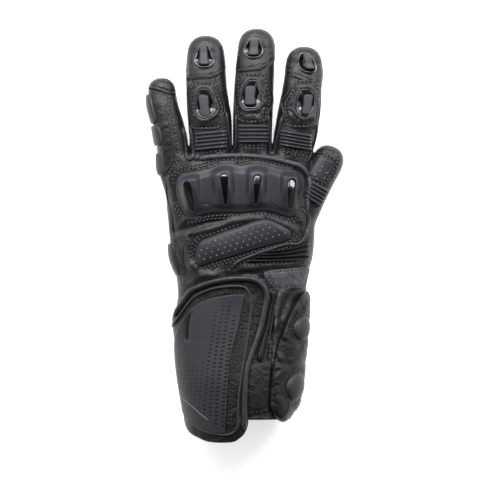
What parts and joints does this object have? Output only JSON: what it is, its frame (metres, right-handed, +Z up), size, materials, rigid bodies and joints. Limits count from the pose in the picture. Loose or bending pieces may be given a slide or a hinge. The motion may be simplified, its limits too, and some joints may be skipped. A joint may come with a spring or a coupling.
{
  "type": "motorcycle glove",
  "caption": "Long-cuff leather motorcycle glove for the left hand, with a hard knuckle guard, finger sliders, stretch folds and a closing flap on the cuff.",
  "frame": {"origin": "on the surface that the glove lies on, under the middle of the palm", "axes": "+Y towards the fingertips, +X towards the thumb, +Z up out of the back of the hand"},
  "size_m": [0.1495, 0.309, 0.0635],
  "materials": {
    "leather": "semi-gloss grained leather",
    "soft_leather": "thin soft leather",
    "moulded_shell": "moulded polyurethane, matte",
    "gloss_insert": "polished",
    "smooth_panel": "coated, fine matte"
  },
  "bodies": {
    "root": {"armour_bump_lower": "moulded_shell", "armour_bump_upper": "moulded_shell", "back_pad": "smooth_panel", "cuff": "leather", "cuff_flap": "leather", "cuff_roll": "leather", "edge_pad_finger_middle": "moulded_shell", "edge_pad_finger_root": "moulded_shell", "edge_pad_fingertip": "moulded_shell", "edge_pad_hand": "moulded_shell", "flap_panel": "smooth_panel", "flap_piping": "leather", "hand_shell": "leather", "index_finger": "leather", "index_finger_folds": "soft_leather", "index_finger_joint_bar": "moulded_shell", "index_finger_joint_pad": "leather", "index_finger_joint_socket": "gloss_insert", "index_finger_tip_bar": "moulded_shell", "index_finger_tip_socket": "gloss_insert", "knuckle_guard": "moulded_shell", "knuckle_insert_1": "gloss_insert", "knuckle_insert_2": "gloss_insert", "knuckle_insert_3": "gloss_insert", "knuckle_insert_4": "gloss_insert", "knuckle_welt": "leather", "little_finger": "leather", "middle_finger": "leather", "middle_finger_folds": "soft_leather", "middle_finger_joint_bar": "moulded_shell", "middle_finger_joint_pad": "leather", "middle_finger_joint_socket": "gloss_insert", "middle_finger_tip_bar": "moulded_shell", "middle_finger_tip_socket": "gloss_insert", "ring_finger": "leather", "ring_finger_folds": "soft_leather", "ring_finger_joint_bar": "moulded_shell", "ring_finger_joint_pad": "leather", "ring_finger_joint_socket": "gloss_insert", "ring_finger_tip_bar": "moulded_shell", "ring_finger_tip_socket": "gloss_insert", "soft_panel": "soft_leather", "strap_tongue": "leather", "thumb": "leather", "thumb_folds": "soft_leather", "thumb_panel": "smooth_panel", "wrist_folds": "soft_leather", "wrist_welt": "leather"}
  },
  "joints": []
}
